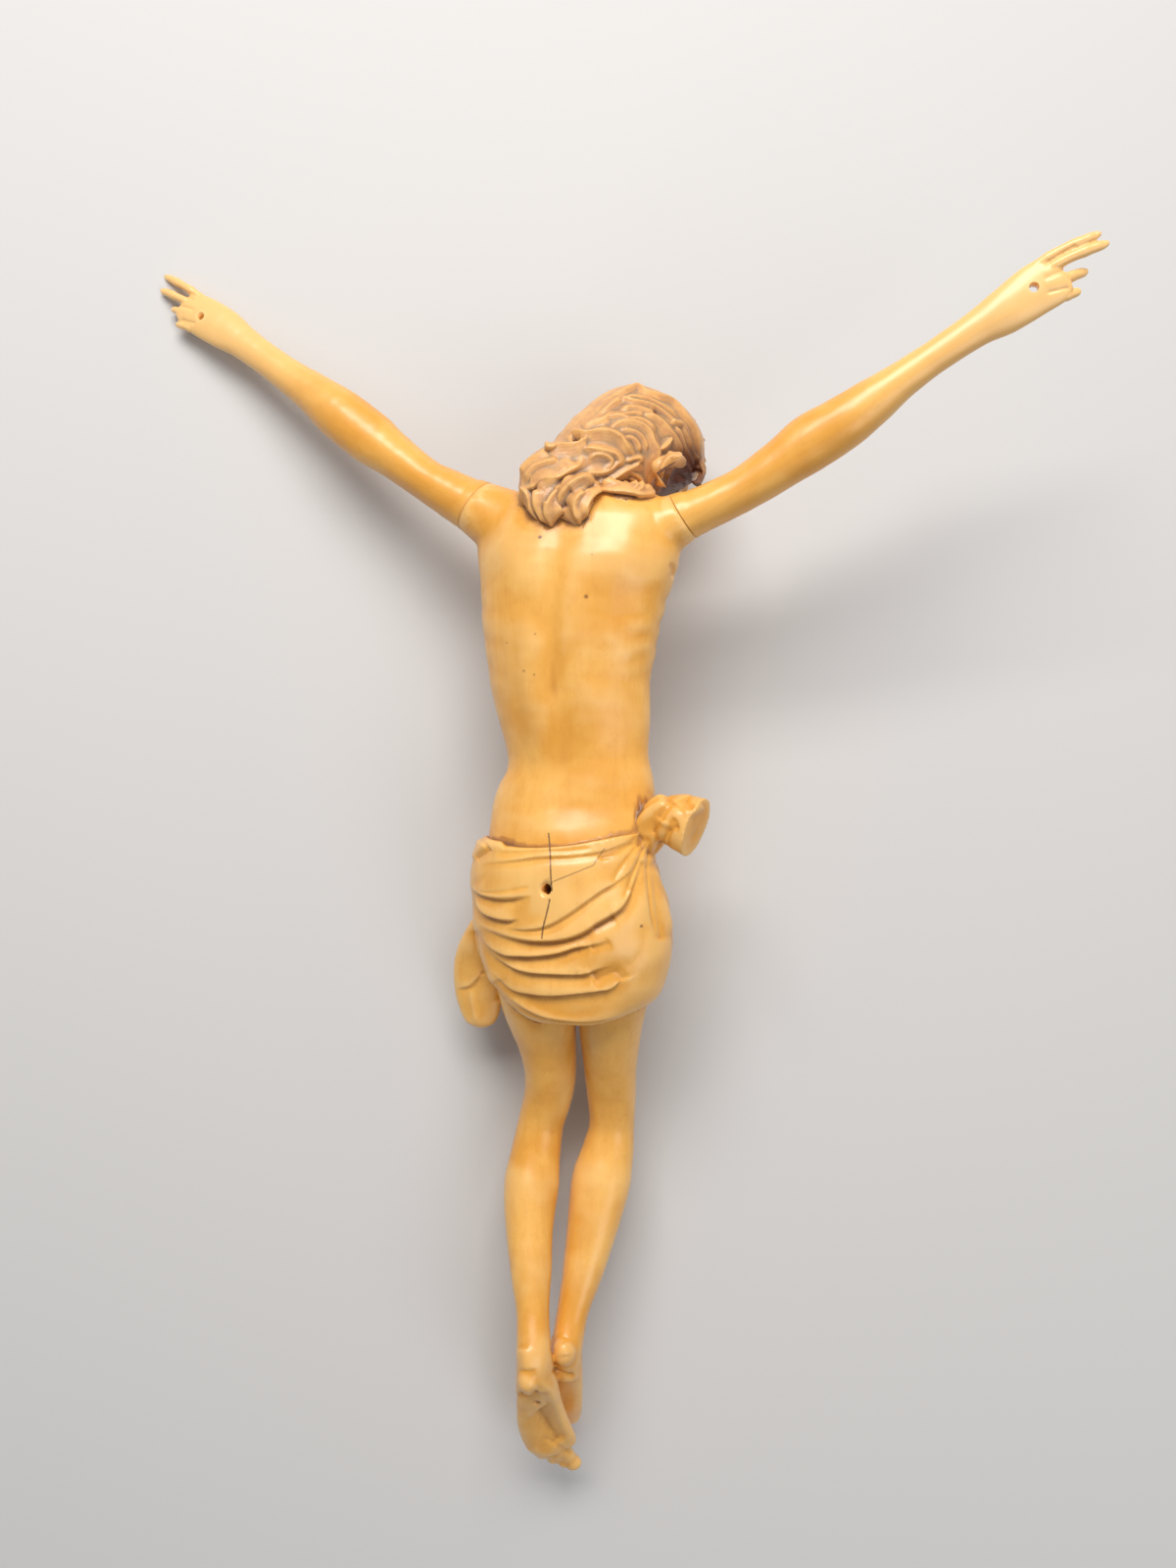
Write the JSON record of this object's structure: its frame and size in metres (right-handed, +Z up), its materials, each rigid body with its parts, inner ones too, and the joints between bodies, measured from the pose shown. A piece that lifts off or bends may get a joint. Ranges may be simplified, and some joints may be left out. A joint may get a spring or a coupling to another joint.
{
  "type": "carved wooden christ figure",
  "caption": "Carved and varnished wooden christ figure from a crucifix, with outstretched arms, bowed head, knotted loincloth and crossed feet, lying face down.",
  "frame": {"origin": "under the middle of the figure's bounding box, on the surface it lies on", "axes": "+Y from the feet to the head, +Z up, out of the figure's back; +X towards the figure's right hand"},
  "size_m": [0.318, 0.4392, 0.0954],
  "materials": {
    "varnished_wood": "honey-coloured aged varnish, semi-gloss, with dirt in the carving",
    "pale_wood": "honey-coloured aged varnish, semi-gloss, worn pale on the hands"
  },
  "bodies": {
    "root": {"body_with_loincloth": "varnished_wood", "left_arm": "pale_wood", "right_arm": "pale_wood"}
  },
  "joints": []
}
